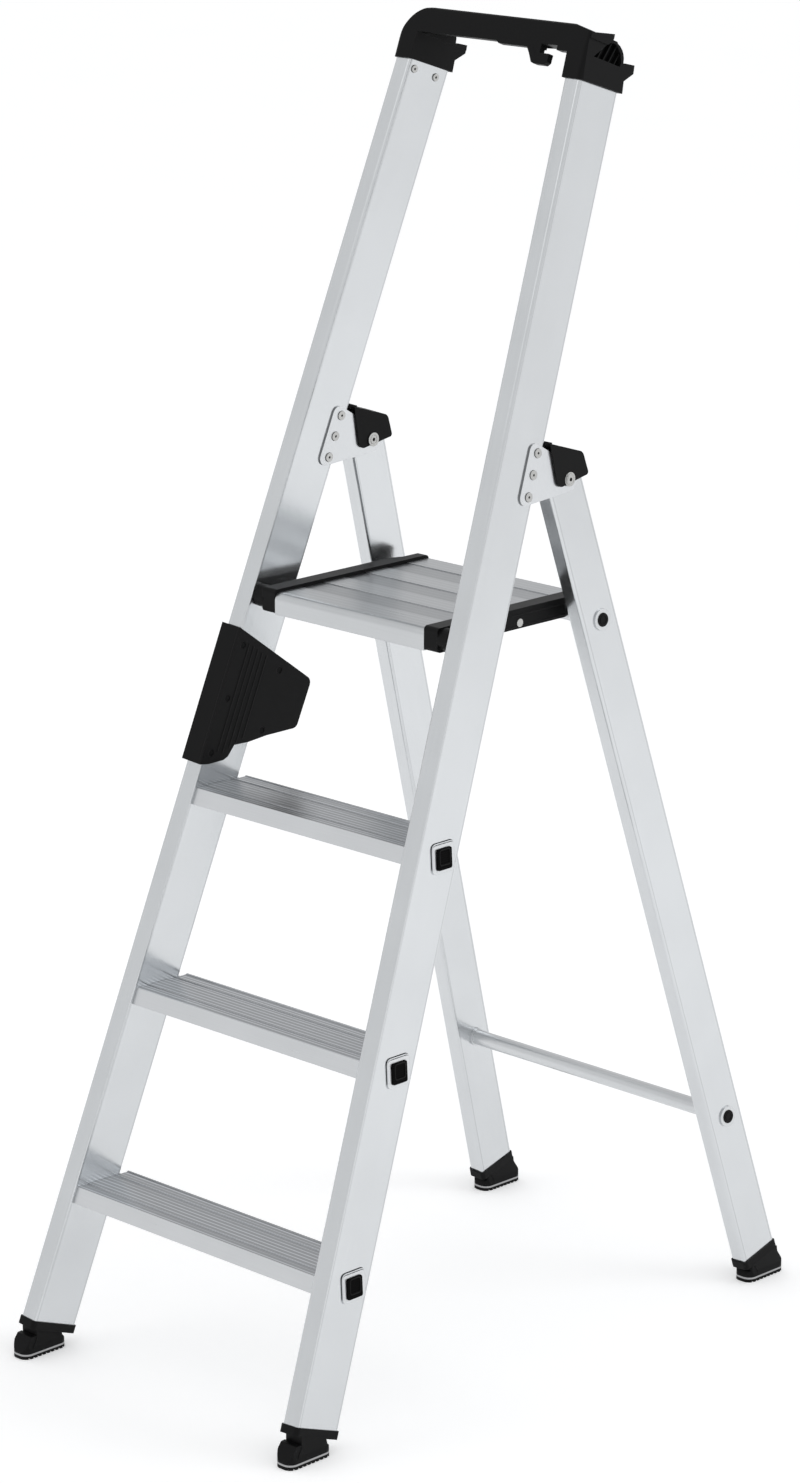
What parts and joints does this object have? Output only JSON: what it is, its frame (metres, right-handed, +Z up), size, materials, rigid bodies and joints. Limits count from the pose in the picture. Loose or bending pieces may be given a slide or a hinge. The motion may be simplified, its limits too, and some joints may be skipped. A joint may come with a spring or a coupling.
{
  "type": "platform step ladder",
  "caption": "Free-standing aluminium step ladder: box treads, folding rear frame, tip-up platform, raised top with tool tray and a side hand grip.",
  "frame": {"origin": "centre of the footprint, on the floor", "axes": "+X to the right of a person facing the treads, +Y from the climbing side to the rear frame, +Z up"},
  "size_m": [0.488, 0.8732, 1.5897],
  "materials": {
    "profile": "mill-finish extrusion, satin",
    "tread": "ribbed extrusion",
    "deck": "satin extrusion",
    "plate": "stamped sheet",
    "fastener": "zinc plated",
    "washer": "moulded",
    "black_plastic": "fine moulded grain",
    "sole": "matt, toothed"
  },
  "bodies": {
    "front_frame": {"stile_left": "profile", "stile_right": "profile", "step_1": "tread", "step_2": "tread", "step_3": "tread", "step_plugs": "black_plastic", "hinge_plate_left_outer": "plate", "hinge_plate_left_inner": "plate", "hinge_plate_right_outer": "plate", "hinge_plate_right_inner": "plate", "plate_rivets": "fastener", "hinge_washers": "washer", "top_tray": "black_plastic", "tray_rivets": "fastener", "grip_pad_inner": "black_plastic", "grip_pad_outer": "black_plastic", "pad_screws": "fastener", "front_foot_left": "black_plastic", "front_foot_right": "black_plastic", "front_sole_left": "sole", "front_sole_right": "sole", "pivot_bolts": "fastener", "pivot_nuts": "fastener"},
    "rear_frame": {"leg_left": "profile", "leg_right": "profile", "crossbar_upper": "profile", "crossbar_lower": "profile", "crossbar_plugs": "black_plastic", "hinge_cap_left": "black_plastic", "hinge_cap_right": "black_plastic", "hinge_bolts": "fastener", "rear_foot_left": "black_plastic", "rear_foot_right": "black_plastic", "rear_sole_left": "sole", "rear_sole_right": "sole"},
    "platform": {"deck": "deck", "rail_left": "black_plastic", "rail_right": "black_plastic", "rail_rivets": "fastener"}
  },
  "joints": [
    {"name": "rear_frame_fold", "type": "hinge", "parent": "front_frame", "child": "rear_frame", "pos_m": [0, 0.08874, 1.06875], "axis": [-1, 0, 0], "range_deg": [0, 36]},
    {"name": "platform_swing", "type": "hinge", "parent": "front_frame", "child": "platform", "pos_m": [0, -0.08556, 0.9015], "axis": [1, 0, 0], "range_deg": [0, 69]}
  ],
  "couplings": [
    {"joint": "platform_swing", "follows": "rear_frame_fold", "ratio": 1.9}
  ]
}
